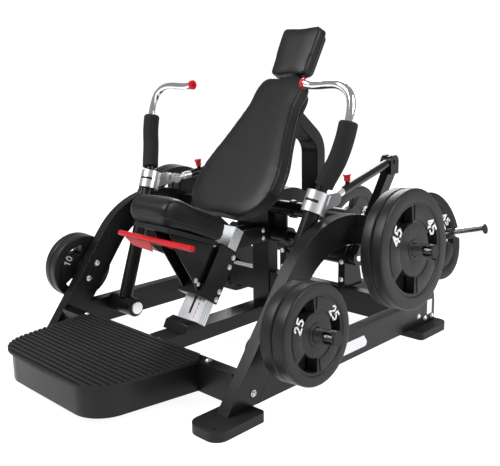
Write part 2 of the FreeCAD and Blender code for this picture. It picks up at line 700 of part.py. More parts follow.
# --------------------------------------------------------------- weight plates
def plate(radius, thick, base, way):
    """Plate with a full rim, a thinner web, a hub and three hand windows."""
    rim = 0.76 * radius
    hub_r = 0.44 * radius
    body = Part.makeCylinder(radius, thick)
    body = body.makeFillet(8.0, [e for e in body.Edges if e.Curve.TypeId == "Part::GeomCircle"])
    recess = Part.makeCylinder(rim, 5.0).cut(Part.makeCylinder(BORE_R + 22, 5.0))
    body = body.cut(recess)
    recess.translate(V(0, 0, thick - 5.0))
    body = body.cut(recess)
    ring = Part.makeCylinder(rim - 6, thick).cut(Part.makeCylinder(hub_r, thick))
    for turn in (90, 210, 330):
        wedge_face = outline([(0, 0), (3 * radius * unit(26)[0], 3 * radius * unit(26)[1]),
                              (3 * radius * unit(26)[0], -3 * radius * unit(26)[1])],
                             lambda a, b: V(a, b, 0))
        wedge = wedge_face.extrude(V(0, 0, thick))
        wedge.rotate(V(0, 0, 0), V(0, 0, 1), turn)
        body = body.cut(ring.common(wedge))
    body = body.cut(Part.makeCylinder(BORE_R, thick))
    across = V(0, 1, 0)
    up = way.cross(across)
    body.Placement = FreeCAD.Placement(base, FreeCAD.Rotation(across, up, way, "ZXY"))
    return body


def stack(count, radius, thick, start, way):
    way = V(*way).normalize()
    return [plate(radius, thick, V(*start) + way * (i * (thick + 0.4)), way) for i in range(count)]


store_way = (horn_way[0], 0, horn_way[1])
arm_way = (work_way[0], 0, work_way[1])
gap = 0.4
# a tilted plate leans towards the arch at its top, so it stops clear of it
PUSHED_IN = {"rear": FLANGE + 18.0, "front": FLANGE + 12.0}
rear_right = stack(2, 225, 45, horn_point("rear", STORED_AT["rear"]), store_way)
rear_left = stack(2, 225, 45, horn_point("rear", PUSHED_IN["rear"]), store_way)
front_25 = stack(2, 167, 50, horn_point("front", STORED_AT["front"]), store_way)
front_10 = stack(2, 145, 40, horn_point("front", PUSHED_IN["front"]), store_way)
work_plate = stack(1, 225, 45, work_horn_point(COLLAR_X + gap), arm_way)
save("right_rear_storage_plates", *rear_right)
save("left_rear_storage_plates", *[mirrored(p) for p in rear_left])
save("right_front_storage_plates", *front_25)
save("left_front_storage_plates", *[mirrored(p) for p in front_10])
save("right_work_plate", *work_plate)
save("left_work_plate", *[mirrored(p) for p in work_plate])

# --------------------------------------------------------- bolts and badges
bolts = []
for y, z in ((-478, 77), (544, 78), (598, 58), (654, 55)):
    bolts += both(hex_bolt(9, 7, (ARCH_X, y, z), (1, 0, 0)))
for y, z in ((-326, 320), (-398, 232)):
    bolts += both(hex_bolt(7, 5, (ARCH_X, y, z), (1, 0, 0)))
for x, y in ((-28, -445), (28, -445)):
    bolts.append(hex_bolt(9, 7, (x, y, 118), (0, 0, 1)))
for z in (180, 262):
    bolts += both(hex_bolt(9, 7, (180, 507, z), (0, -1, 0)))
for z in (420, 452):
    bolts += both(hex_bolt(7, 5, (50, 130, z), (1, 0, 0)))
save("frame_bolts", *bolts)
badge = side_plate([(-35, 60, 14), (172, 60, 14), (140, 106, 14), (-8, 106, 14)], ARCH_X, ARCH_X + 1.5)
sticker = side_plate([(612, 70, 3), (652, 70, 3), (652, 134, 3), (612, 134, 3)], ARCH_X, ARCH_X + 0.6)
save("blank_plates", badge, sticker)
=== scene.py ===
# %% [markdown]
# # A reclined lever press, finished piece by piece
# The machine is a steel frame with a padded bench, two lever arms and a weight arm behind.
# This lesson keeps the hard parts where they are, rounds their edges, upholsters the bench
# and paints everything.

# %% Load the frame
import json
import math
import bpy
import bmesh
import numpy as np
from mathutils import Matrix, Vector
from mathutils.bvhtree import BVHTree

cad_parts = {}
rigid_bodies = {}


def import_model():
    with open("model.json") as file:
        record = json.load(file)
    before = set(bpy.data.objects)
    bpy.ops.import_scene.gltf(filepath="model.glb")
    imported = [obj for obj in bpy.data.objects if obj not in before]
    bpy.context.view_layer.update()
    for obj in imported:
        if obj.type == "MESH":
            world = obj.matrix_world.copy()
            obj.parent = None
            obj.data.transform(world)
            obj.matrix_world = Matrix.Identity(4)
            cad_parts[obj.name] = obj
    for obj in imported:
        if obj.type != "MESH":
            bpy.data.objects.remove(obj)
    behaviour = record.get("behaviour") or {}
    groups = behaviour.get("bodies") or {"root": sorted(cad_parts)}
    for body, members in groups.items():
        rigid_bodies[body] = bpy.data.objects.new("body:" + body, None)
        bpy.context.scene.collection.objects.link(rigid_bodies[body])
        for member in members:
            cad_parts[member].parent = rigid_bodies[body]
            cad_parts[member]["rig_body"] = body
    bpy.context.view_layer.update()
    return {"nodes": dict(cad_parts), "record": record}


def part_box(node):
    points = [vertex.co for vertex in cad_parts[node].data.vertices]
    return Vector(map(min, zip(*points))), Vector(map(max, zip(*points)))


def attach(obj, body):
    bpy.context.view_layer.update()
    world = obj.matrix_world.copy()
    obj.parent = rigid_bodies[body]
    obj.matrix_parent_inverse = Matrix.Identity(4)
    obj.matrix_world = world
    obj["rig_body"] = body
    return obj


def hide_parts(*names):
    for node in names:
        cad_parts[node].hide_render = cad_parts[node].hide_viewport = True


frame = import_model()
nodes = frame["nodes"]
node_body = {}
for body, members in frame["record"]["behaviour"]["bodies"].items():
    for member in members:
        node_body[member] = body

# %% [markdown]
# ## Small tools for surfaces
# Nearly every new piece here is a sheet of points on two parameters. One helper turns such a
# grid into a mesh, and may close it in either direction or cap its ends. Several grids can
# share one object, each with its own material, which keeps a weight plate in one piece.

# %% Grids into meshes
def grid_faces(rows, cols, wrap_rows, wrap_cols):
    """Quads between neighbouring grid points; a wrapped side joins its last line to its first."""
    i = np.arange(rows if wrap_rows else rows - 1)
    j = np.arange(cols if wrap_cols else cols - 1)
    a, b = np.meshgrid(i, j, indexing="ij")
    a2 = (a + 1) % rows
    b2 = (b + 1) % cols
    return np.stack([a * cols + b, a * cols + b2, a2 * cols + b2, a2 * cols + b], -1).reshape(-1, 4)


def new_piece(name, parts, body, smooth=True, bevel=0.0):
    """Join (points, faces, material) parts, turn all faces outwards, and ride on a body."""
    mesh = bpy.data.meshes.new(name)
    verts = []
    faces = []
    slots = []
    marks = []
    start = 0
    for points, quads, material in parts:
        verts.append(points.reshape(-1, 3))
        if material not in slots:
            slots.append(material)
        for quad in quads:
            faces.append([int(v) + start for v in quad])
            marks.append(slots.index(material))
        start += len(verts[-1])
    mesh.from_pydata(np.concatenate(verts).tolist(), [], faces)
    for material in slots:
        mesh.materials.append(material)
    mesh.polygons.foreach_set("material_index", marks)
    bm = bmesh.new()
    bm.from_mesh(mesh)
    bmesh.ops.remove_doubles(bm, verts=bm.verts, dist=1e-6)
    bmesh.ops.recalc_face_normals(bm, faces=bm.faces)
    bm.to_mesh(mesh)
    bm.free()
    mesh.polygons.foreach_set("use_smooth", [smooth] * len(mesh.polygons))
    obj = bpy.data.objects.new(name, mesh)
    bpy.context.scene.collection.objects.link(obj)
    if smooth:
        mesh.set_sharp_from_angle(angle=math.radians(38))
    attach(obj, body)
    return obj


def curve_points(corners, count):
    """Smooth open curve through the corners: a Catmull-Rom blend of four neighbours."""
    p = np.array(corners, float)
    p = np.vstack([2 * p[0] - p[1], p, 2 * p[-1] - p[-2]])
    t = np.linspace(0, len(corners) - 1 - 1e-9, count)
    k = t.astype(int)
    f = (t - k)[:, None]
    a, b, c, d = p[k], p[k + 1], p[k + 2], p[k + 3]
    return 0.5 * (2 * b + (c - a) * f + (2 * a - 5 * b + 4 * c - d) * f ** 2
                  + (3 * b - a - 3 * c + d) * f ** 3)


def tube(path, radius, material, sides=24, closed=False):
    """Round tube: at each path point, a circle of that radius across the path's direction."""
    path = np.asarray(path, float)
    way = np.gradient(path, axis=0)
    if closed:
        way = np.roll(path, -1, 0) - np.roll(path, 1, 0)
    way /= np.linalg.norm(way, axis=1)[:, None]
    side = np.cross(way, [0.13, 0.21, 0.97])
    side /= np.linalg.norm(side, axis=1)[:, None]
    up = np.cross(side, way)
    r = np.broadcast_to(np.asarray(radius, float), (len(path),))[:, None, None]
    angle = np.linspace(0, 2 * np.pi, sides, endpoint=False)
    ring = np.cos(angle)[None, :, None] * side[:, None] + np.sin(angle)[None, :, None] * up[:, None]
    points = path[:, None] + r * ring
    return points, grid_faces(len(path), sides, closed, True), material


def turned(profile, centre, way, material, start=0.0, sweep=2 * np.pi, sides=96):
    """Lathe: profile rows are (radius, height) carried round the axis through the centre."""
    way = np.array(way, float)
    way /= np.linalg.norm(way)
    east = np.cross([0, 1, 0], way)
    east /= np.linalg.norm(east)
    north = np.cross(way, east)
    whole = sweep > 6.28
    angle = start + np.linspace(0, sweep, sides, endpoint=not whole)
    profile = np.array(profile, float)
    arm = np.cos(angle)[:, None] * east + np.sin(angle)[:, None] * north
    points = (np.array(centre) + profile[None, :, 0, None] * arm[:, None]
              + profile[None, :, 1, None] * way)
    faces = grid_faces(len(angle), len(profile), whole, True).tolist()
    if not whole:
        last = (len(angle) - 1) * len(profile)
        faces.append(list(range(len(profile))))
        faces.append([last + k for k in range(len(profile))])
    return points, faces, material


print("surface tools ready")

# %% [markdown]
# ## Effects that several finishes share
# Powder coat, vinyl, foam and rubber all have a fine relief, and all collect a little dust on
# the faces that look upwards. Each effect is one node group, built once: `relief` gives a height
# and a blotchy mask from noise in object space, and `dust` gives a mask from the surface normal.

# %% Shader node groups
def group_with(name, inputs, outputs):
    tree = bpy.data.node_groups.new(name, "ShaderNodeTree")
    for label, value in inputs:
        socket = tree.interface.new_socket(label, in_out="INPUT", socket_type="NodeSocketFloat")
        socket.default_value = value
    for label in outputs:
        tree.interface.new_socket(label, in_out="OUTPUT", socket_type="NodeSocketFloat")
    return tree, tree.nodes.new("NodeGroupInput"), tree.nodes.new("NodeGroupOutput")


def noise_node(tree, coords, scale=None, detail=4.0, rough=0.55):
    node = tree.nodes.new("ShaderNodeTexNoise")
    node.inputs["Detail"].default_value = detail
    node.inputs["Roughness"].default_value = rough
    tree.links.new(coords, node.inputs["Vector"])
    if isinstance(scale, float):
        node.inputs["Scale"].default_value = scale
    elif scale is not None:
        tree.links.new(scale, node.inputs["Scale"])
    return node.outputs["Fac"]


def math_node(tree, operation, a, b=None, clamp=False):
    node = tree.nodes.new("ShaderNodeMath")
    node.operation = operation
    node.use_clamp = clamp
    for socket, value in zip(node.inputs, (a, b)):
        if value is None:
            continue
        if isinstance(value, (int, float)):
            socket.default_value = value
        else:
            tree.links.new(value, socket)
    return node.outputs[0]


relief, r_in, r_out = group_with("relief", [("Fine Scale", 900.0), ("Blotch Scale", 9.0)],
                                 ["Height", "Blotch"])
coords = relief.nodes.new("ShaderNodeTexCoord").outputs["Object"]
relief.links.new(noise_node(relief, coords, r_in.outputs["Fine Scale"]), r_out.inputs["Height"])
relief.links.new(noise_node(relief, coords, r_in.outputs["Blotch Scale"], 6.0, 0.6),
                 r_out.inputs["Blotch"])

dust, d_in, d_out = group_with("dust", [("Amount", 0.3)], ["Mask"])
normal = dust.nodes.new("ShaderNodeNewGeometry").outputs["Normal"]
split = dust.nodes.new("ShaderNodeSeparateXYZ")
dust.links.new(normal, split.inputs[0])
facing = math_node(dust, "MULTIPLY", math_node(dust, "SUBTRACT", split.outputs["Z"], 0.55, True), 1.8)
patch = noise_node(dust, dust.nodes.new("ShaderNodeTexCoord").outputs["Object"], 26.0, 8.0, 0.7)
dust.links.new(math_node(dust, "MULTIPLY", math_node(dust, "MULTIPLY", facing, patch),
                         d_in.outputs["Amount"], True), d_out.inputs["Mask"])

leather, l_in, l_out = group_with("pebble", [("Scale", 420.0)], ["Height"])
cells = leather.nodes.new("ShaderNodeTexVoronoi")
cells.feature = "SMOOTH_F1"
leather.links.new(leather.nodes.new("ShaderNodeTexCoord").outputs["Object"], cells.inputs["Vector"])
leather.links.new(l_in.outputs["Scale"], cells.inputs["Scale"])
leather.links.new(math_node(leather, "SUBTRACT", 1.0, cells.outputs["Distance"]), l_out.inputs[0])
print("groups:", [g.name for g in bpy.data.node_groups])

# %% [markdown]
# ## Finishes
# Every finish is one Principled shader with the shared effects plugged in at their own
# strengths. Colour moves a little with the blotches, roughness moves with them too, and a bump
# node turns the fine relief into a shading normal. Fixed values sit on the shader's sockets.

# %% Material maker
def finish(name, colour, rough, metal=0.0, fine=900.0, bump=0.0002, blotch=9.0, vary=0.12,
           dusty=0.0, coat=0.0, pebble=0.0, rough_vary=0.12, brushed=None, shine=0.22):
    material = bpy.data.materials.new(name)
    material.use_nodes = True
    tree = material.node_tree
    shader = tree.nodes["Principled BSDF"]
    shader.inputs["Metallic"].default_value = metal
    shader.inputs["Coat Weight"].default_value = coat
    shader.inputs["Coat Roughness"].default_value = 0.2
    shader.inputs["Specular IOR Level"].default_value = shine
    effect = tree.nodes.new("ShaderNodeGroup")
    effect.node_tree = relief
    effect.inputs["Fine Scale"].default_value = fine
    effect.inputs["Blotch Scale"].default_value = blotch
    tone = tree.nodes.new("ShaderNodeMix")
    tone.data_type = "RGBA"
    low = [c * (1 - vary) for c in colour] + [1]
    high = [min(1, c * (1 + vary) + 0.0005) for c in colour] + [1]
    tone.inputs["A"].default_value = low
    tone.inputs["B"].default_value = high
    tree.links.new(effect.outputs["Blotch"], tone.inputs["Factor"])
    paint = tone.outputs["Result"]
    if dusty > 0:
        powder = tree.nodes.new("ShaderNodeGroup")
        powder.node_tree = dust
        powder.inputs["Amount"].default_value = dusty
        cover = tree.nodes.new("ShaderNodeMix")
        cover.data_type = "RGBA"
        cover.inputs["B"].default_value = (0.12, 0.115, 0.11, 1)
        tree.links.new(paint, cover.inputs["A"])
        tree.links.new(powder.outputs["Mask"], cover.inputs["Factor"])
        paint = cover.outputs["Result"]
    tree.links.new(paint, shader.inputs["Base Color"])
    spread = math_node(tree, "MULTIPLY", math_node(tree, "SUBTRACT", effect.outputs["Blotch"], 0.5),
                       rough_vary * 2)
    tree.links.new(math_node(tree, "ADD", spread, rough, True), shader.inputs["Roughness"])
    height = effect.outputs["Height"]
    if brushed:
        place = tree.nodes.new("ShaderNodeMapping")
        place.inputs["Scale"].default_value = brushed
        tree.links.new(tree.nodes.new("ShaderNodeTexCoord").outputs["Object"], place.inputs[0])
        height = noise_node(tree, place.outputs[0], 60.0, 6.0, 0.7)
    if pebble > 0:
        skin = tree.nodes.new("ShaderNodeGroup")
        skin.node_tree = leather
        skin.inputs["Scale"].default_value = pebble
        height = math_node(tree, "ADD", math_node(tree, "MULTIPLY", height, 0.35), skin.outputs["Height"])
    relief_bump = tree.nodes.new("ShaderNodeBump")
    relief_bump.inputs["Strength"].default_value = 1.0
    relief_bump.inputs["Distance"].default_value = bump
    tree.links.new(height, relief_bump.inputs["Height"])
    tree.links.new(relief_bump.outputs[0], shader.inputs["Normal"])
    return material


powder_coat = finish("black_powder_coat", (0.0045, 0.0047, 0.0052), 0.3, fine=1400, bump=0.0001,
                     dusty=0.025, coat=0.05)
vinyl = finish("pad_vinyl", (0.0055, 0.0056, 0.0062), 0.42, fine=600, bump=0.00018, pebble=520, dusty=0.02)
seam_vinyl = finish("welt_vinyl", (0.016, 0.016, 0.018), 0.36, fine=700, bump=0.0002, pebble=600)
foam = finish("dense_foam", (0.0075, 0.0075, 0.008), 0.72, fine=1100, bump=0.0005, pebble=900, dusty=0.02)
rubber = finish("ribbed_rubber", (0.010, 0.0102, 0.011), 0.55, fine=800, bump=0.0003, dusty=0.06)
black_rubber = finish("moulded_rubber", (0.010, 0.010, 0.011), 0.5, fine=900, bump=0.0002, dusty=0.04)
chrome = finish("chrome_plate", (0.80, 0.80, 0.82), 0.07, 1.0, fine=200, bump=0.00001, vary=0.02,
                rough_vary=0.03)
steel = finish("zinc_steel", (0.86, 0.86, 0.87), 0.3, 0.85, fine=900, bump=0.00005, vary=0.06, shine=0.5)
alloy = finish("brushed_alloy", (0.72, 0.73, 0.75), 0.3, 0.95, bump=0.00006, vary=0.05,
               brushed=(40.0, 1.0, 1.0))
post_alloy = finish("post_alloy", (0.72, 0.73, 0.75), 0.3, 0.95, bump=0.00006, vary=0.05,
                    brushed=(40.0, 0.6, 0.6))
red_gloss = finish("red_plastic", (0.50, 0.010, 0.014), 0.3, fine=500, bump=0.00004, coat=0.15)
urethane = finish("plate_urethane", (0.012, 0.012, 0.013), 0.38, fine=900, bump=0.00012, blotch=14,
                  dusty=0.04)
number_white = finish("number_white", (0.72, 0.72, 0.71), 0.5, fine=900, bump=0.0001, vary=0.06)
board = finish("backing_board", (0.009, 0.009, 0.0095), 0.6, fine=500, bump=0.0003, dusty=0.03)
print("finishes:", len(bpy.data.materials))

# %% Give each part its finish
PAINT = {
    "black_rubber": black_rubber, "charcoal_frame": powder_coat, "steel": steel, "chrome": chrome,
    "aluminium": alloy, "vinyl": vinyl, "board": board, "foam": foam, "red_plastic": red_gloss,
    "plate_urethane": urethane,
}
OWN_PAINT = {"platform_mat": rubber, "seat_post": post_alloy, "blank_plates": alloy}


def paint_of(name):
    slots = {s["node"]: s["material_slot"] for s in frame["record"]["subparts"]}
    return OWN_PAINT.get(name) or PAINT[slots[name]]


for name, obj in nodes.items():
    obj.data.materials.clear()
    obj.data.materials.append(paint_of(name))
print("painted:", len(nodes))

# %% [markdown]
# ## Rounded edges on the frame
# Steel tube has rolled corners, and every one of them catches a thin line of light. A bevel
# modifier gives that line. It needs whole faces and not loose triangles, so each frame part is
# copied, merged and cleaned first, and the copy stands for the part.

# %% Soften the hard edges
def softened(node, width, segments=3, limit=40):
    """Copy of a part, merged into flat faces, with a rolled edge of the given width."""
    source = nodes[node]
    mesh = source.data.copy()
    bm = bmesh.new()
    bm.from_mesh(mesh)
    bmesh.ops.remove_doubles(bm, verts=bm.verts, dist=2e-5)
    bmesh.ops.dissolve_limit(bm, angle_limit=math.radians(0.6), verts=bm.verts, edges=bm.edges)
    bm.to_mesh(mesh)
    bm.free()
    mesh.polygons.foreach_set("use_smooth", [True] * len(mesh.polygons))
    piece = bpy.data.objects.new(node + "_rounded", mesh)
    bpy.context.scene.collection.objects.link(piece)
    mesh.set_sharp_from_angle(angle=math.radians(60))
    roll = piece.modifiers.new("rolled_edge", "BEVEL")
    roll.width = width
    roll.segments = segments
    roll.limit_method = "ANGLE"
    roll.angle_limit = math.radians(limit)
    roll.use_clamp_overlap = True
    roll.harden_normals = True
    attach(piece, node_body[node])
    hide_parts(node)
    return piece


ROUNDED = {"left_arch": 0.007, "right_arch": 0.007, "left_base_rail": 0.006, "right_base_rail": 0.006,
           "front_cross_tube": 0.006, "centre_rail": 0.006, "lower_column": 0.006,
           "upper_column": 0.006, "feet": 0.006, "platform_housing": 0.004, "work_pivot_brackets": 0.003,
           "seat_carriage": 0.004, "seat_gussets": 0.0015, "seat_post_base": 0.004}
for node, width in ROUNDED.items():
    softened(node, width)
print("rounded:", len(ROUNDED))

# %% [markdown]
# ## The bench cushions
# A vinyl pad is foam under a tight cover: its face crowns, its edges are soft, and its sides
# pull in at the seam. Cloth under pressure gives that. The solid part is remeshed finely, its
# corners are relaxed, and the cover is blown up a few millimetres, held back by a cap.

# %% Inflate a cushion
CLOTH_STEPS = 20
SMOOTH_ROUNDS = 30


def averaged(mesh, values, rounds, keep):
    """Blend each vertex's value with its neighbours' mean: keep * own + (1 - keep) * mean."""
    pairs = np.empty(len(mesh.edges) * 2, int)
    mesh.edges.foreach_get("vertices", pairs)
    a, b = pairs.reshape(-1, 2).T
    count = np.bincount(np.r_[a, b], minlength=len(values))[:, None]
    for _ in range(rounds):
        total = np.zeros_like(values)
        np.add.at(total, a, values[b])
        np.add.at(total, b, values[a])
        values = keep * values + (1 - keep) * total / count
    return values


def in_box(co, low, high):
    """Stretch points along each axis so that they fill the given box."""
    return low + (co - co.min(0)) * (high - low) / (co.max(0) - co.min(0))


def relaxed(mesh, rounds):
    """Smooth the corners of a mesh and keep its overall size."""
    co = np.empty(len(mesh.vertices) * 3)
    mesh.vertices.foreach_get("co", co)
    co = co.reshape(-1, 3)
    co = in_box(averaged(mesh, co, rounds, 0.5), co.min(0), co.max(0))
    mesh.vertices.foreach_set("co", co.ravel())
    mesh.update()
    return co


def blown_up(piece, rest, cap):
    """Inflate the cover as cloth, cap how far each point moves, and even out the movement."""
    cloth = piece.modifiers.new("cover", "CLOTH")
    cloth.settings.use_pressure = True
    cloth.settings.uniform_pressure_force = 4.0
    cloth.settings.tension_stiffness = 80
    cloth.settings.compression_stiffness = 80
    cloth.settings.effector_weights.gravity = 0
    cloth.point_cache.frame_start = 1
    cloth.point_cache.frame_end = CLOTH_STEPS
    for step in range(1, CLOTH_STEPS + 1):
        bpy.context.scene.frame_set(step)
    shaped = piece.evaluated_get(bpy.context.evaluated_depsgraph_get()).data
    blown = np.empty(len(rest) * 3)
    shaped.vertices.foreach_get("co", blown)
    piece.modifiers.remove(cloth)
    bpy.context.scene.frame_set(1)
    shift = blown.reshape(-1, 3) - rest
    length = np.linalg.norm(shift, axis=1)[:, None]
    shift = shift * np.minimum(1, cap / np.maximum(length, 1e-9))
    return rest + averaged(piece.data, shift, SMOOTH_ROUNDS, 0.0)


def cushion(node, inset, cap, rounds=14):
    """Remesh a copy of the solid pad, relax it, shrink it a little and inflate it as cloth."""
    mesh = nodes[node].data.copy()
    bm = bmesh.new()
    bm.from_mesh(mesh)
    bmesh.ops.remove_doubles(bm, verts=bm.verts, dist=1e-5)
    bm.to_mesh(mesh)
    bm.free()
    piece = bpy.data.objects.new(node.replace("_pad", "") + "_cushion", mesh)
    bpy.context.scene.collection.objects.link(piece)
    bpy.context.view_layer.objects.active = piece
    grid = piece.modifiers.new("grid", "REMESH")
    grid.mode = "VOXEL"
    grid.voxel_size = 0.006
    with bpy.context.temp_override(object=piece, active_object=piece):
        bpy.ops.object.modifier_apply(modifier="grid")
    rest = relaxed(piece.data, rounds)
    normals = np.empty(len(rest) * 3)
    piece.data.vertices.foreach_get("normal", normals)
    rest = rest - normals.reshape(-1, 3) * inset
    piece.data.vertices.foreach_set("co", rest.ravel())
    piece.data.update()
    rest = blown_up(piece, rest, cap)
    low, high = (np.array(c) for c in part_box(node))
    rest = in_box(rest, low, high)
    piece.data.vertices.foreach_set("co", rest.ravel())
    piece.data.polygons.foreach_set("use_smooth", [True] * len(piece.data.polygons))
    piece.data.materials.clear()
    piece.data.materials.append(vinyl)
    soft = piece.modifiers.new("smooth_cover", "SUBSURF")
    soft.levels = 1
    soft.render_levels = 1
    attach(piece, node_body[node])
    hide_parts(node)
    print(piece.name, len(rest), "points, fits", (high - low).round(3))
    return piece


back_cushion = cushion("back_pad", 0.006, 0.009)
head_cushion = cushion("headrest_pad", 0.005, 0.007)
seat_cushion = cushion("seat_pad", 0.004, 0.009, rounds=34)

# %% [markdown]
# ## Seams on the cushions
# The covers are sewn near the board, and the seat halfway up its nose. A welt follows the real
# cushion: rays run inwards all around the pad at one depth, and a thin cord is laid where they
# meet the surface, half sunk in.

# %% Welts laid on the surface
def leaning(foot, degrees, across, along, behind):
    """Point on a leaning pad: across the bench, up the pad from its foot, and behind its face."""
    c, s = math.cos(math.radians(degrees)), math.sin(math.radians(degrees))
    across, along = np.broadcast_arrays(across, along)
    return np.stack([across, foot[0] + c * along + s * behind, foot[1] + s * along - c * behind], -1)


def ring_of(piece, foot, degrees, behind, count=220):
    """Outline of a leaning pad at one depth: the furthest surface in each direction around it."""
    tree = BVHTree.FromObject(piece, bpy.context.evaluated_depsgraph_get())
    co = np.array([v.co for v in piece.data.vertices])
    c, s = math.cos(math.radians(degrees)), math.sin(math.radians(degrees))
    along = (co[:, 1] - foot[0]) * c + (co[:, 2] - foot[1]) * s
    middle = (along.min() + along.max()) / 2
    half = (along.max() - along.min()) / 2
    start = leaning(foot, degrees, 0.0, middle, behind)
    angle = np.linspace(0, 2 * np.pi, count, endpoint=False)
    far = leaning(foot, degrees, np.sin(angle) * 0.6, middle + np.cos(angle) * (half + 0.3), behind)
    spots = []
    for target in far:
        way = Vector(start - target).normalized()
        hit = tree.ray_cast(Vector(target), way)[0]
        if hit is not None:
            spots.append(hit)
    return np.array(spots)


BACK_FOOT, BACK_TILT = (-0.075, 0.585), 52.3
HEAD_FOOT, HEAD_TILT = (0.339, 1.110), 62.7
SEAT_FOOT, SEAT_TILT = (-0.450, 0.568), -20.9


def resampled(loop, count):
    """Even steps along a closed loop, by length."""
    closed = np.vstack([loop, loop[:1]])
    step = np.r_[0, np.cumsum(np.linalg.norm(np.diff(closed, axis=0), axis=1))]
    t = np.linspace(0, step[-1], count, endpoint=False)
    return np.stack([np.interp(t, step, closed[:, k]) for k in range(3)], -1)


def welt(piece, name, foot, degrees, behind, radius, count=360):
    loop = resampled(ring_of(piece, foot, degrees, behind), count)
    part = tube(loop, radius, seam_vinyl, 10, closed=True)
    obj = new_piece(name, [part], piece["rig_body"])
    return obj


welt(back_cushion, "back_welt", BACK_FOOT, BACK_TILT, 0.050, 0.0024)
welt(head_cushion, "head_welt", HEAD_FOOT, HEAD_TILT, 0.042, 0.0022)
welt(seat_cushion, "seat_welt", SEAT_FOOT, SEAT_TILT, -0.030, 0.0024)
print("welts laid")

# %% [markdown]
# ## Foam sleeves on the arms
# The sleeve is a thick tube of closed-cell foam slid over the bent arm. It is a circle carried
# along the arm's own curve; its radius eases in at both ends, where the foam is cut and rounded.

# %% Sleeves along the arms
SLEEVE = [(0.499, -0.035, 0.700), (0.507, -0.027, 0.724), (0.533, 0.000, 0.794), (0.551, 0.017, 0.865),
          (0.558, 0.033, 0.930)]
for side, sign in (("left", -1), ("right", 1)):
    path = curve_points([(sign * x, y, z) for x, y, z in SLEEVE], 60)
    t = np.linspace(0, 1, 60)
    edge = np.minimum(t, 1 - t) / 0.035
    radius = 0.0352 - 0.007 * np.clip(1 - edge, 0, 1) ** 2
    path = np.vstack([path[:1], path, path[-1:]])
    radius = np.r_[0.0226, radius, 0.0165]
    sleeve = new_piece(side + "_foam_grip", [tube(path, radius, foam, 40)], side + "_arm")
    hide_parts(side + "_foam_sleeve")
print("sleeves on")

# %% [markdown]
# ## Weight plates
# A urethane plate has a thick rolled rim, a thinner web with three hand windows, and a
# ring around its bore. Rim, hub and three arms are lathe profiles: the arms are the same lathe work
# stopped after part of a turn. The numbers are strokes raised a millimetre.

# %% Strokes for numbers
STROKES = {
    "0": [(.5, 1), (.12, .85), (.05, .5), (.12, .15), (.5, 0), (.88, .15), (.95, .5), (.88, .85), (.5, 1)],
    "1": [(.2, .78), (.55, 1), (.55, 0)],
    "2": [(.08, .78), (.3, .98), (.7, .98), (.92, .72), (.6, .4), (.08, 0), (.95, 0)],
    "3": [(.1, .9), (.5, 1), (.88, .75), (.5, .53), (.92, .25), (.5, 0), (.08, .12)],
    "4": [(.75, 0), (.75, 1), (.05, .3), (.98, .3)],
    "5": [(.9, 1), (.2, 1), (.14, .56), (.55, .63), (.92, .34), (.6, .02), (.1, .08)],
}


def digit_parts(text, centre, right, up, height, depth, material, weight=0.14):
    """Each stroke is a flat bar between two corners, raised along the face's normal."""
    right = np.array(right, float)
    up = np.array(up, float)
    out = np.cross(right, up)
    parts = []
    width = height * 0.62
    for k, letter in enumerate(text):
        shift = (k - (len(text) - 1) / 2) * width * 1.32 - width / 2
        spots = [(shift + x * width, (y - 0.5) * height) for x, y in STROKES[letter]]
        for a, b in zip(spots[:-1], spots[1:]):
            a, b = np.array(a), np.array(b)
            way = (b - a) / np.linalg.norm(b - a)
            side = np.array([-way[1], way[0]]) * height * weight / 2
            a = a - way * height * weight * 0.42
            b = b + way * height * weight * 0.42
            flat = [a - side, b - side, b + side, a + side]
            low = [np.array(centre) + p[0] * right + p[1] * up for p in flat]
            top = [p + out * depth for p in low]
            quads = [[4, 5, 6, 7], [3, 2, 1, 0], [0, 1, 5, 4], [1, 2, 6, 5], [2, 3, 7, 6], [3, 0, 4, 7]]
            parts.append((np.array(low + top), quads, material))
    return parts


# %% Build the plates
def rolled(r_in, r_out, low, high, roll, steps=6):
    """Closed ring section: a rectangle whose corners are quarter turns of the given radius."""
    q = np.linspace(0, np.pi / 2, steps)
    rows = []
    for cx, cy, start in ((r_out - roll, high - roll, 0), (r_in + roll, high - roll, 1),
                          (r_in + roll, low + roll, 2), (r_out - roll, low + roll, 3)):
        rows.append(np.stack([cx + roll * np.cos(q + start * np.pi / 2),
                              cy + roll * np.sin(q + start * np.pi / 2)], -1))
    return np.concatenate(rows)


BORE_RADIUS = 0.0256
ARM_SPREAD = np.radians(68)
FACE_SPREAD = np.radians(54)


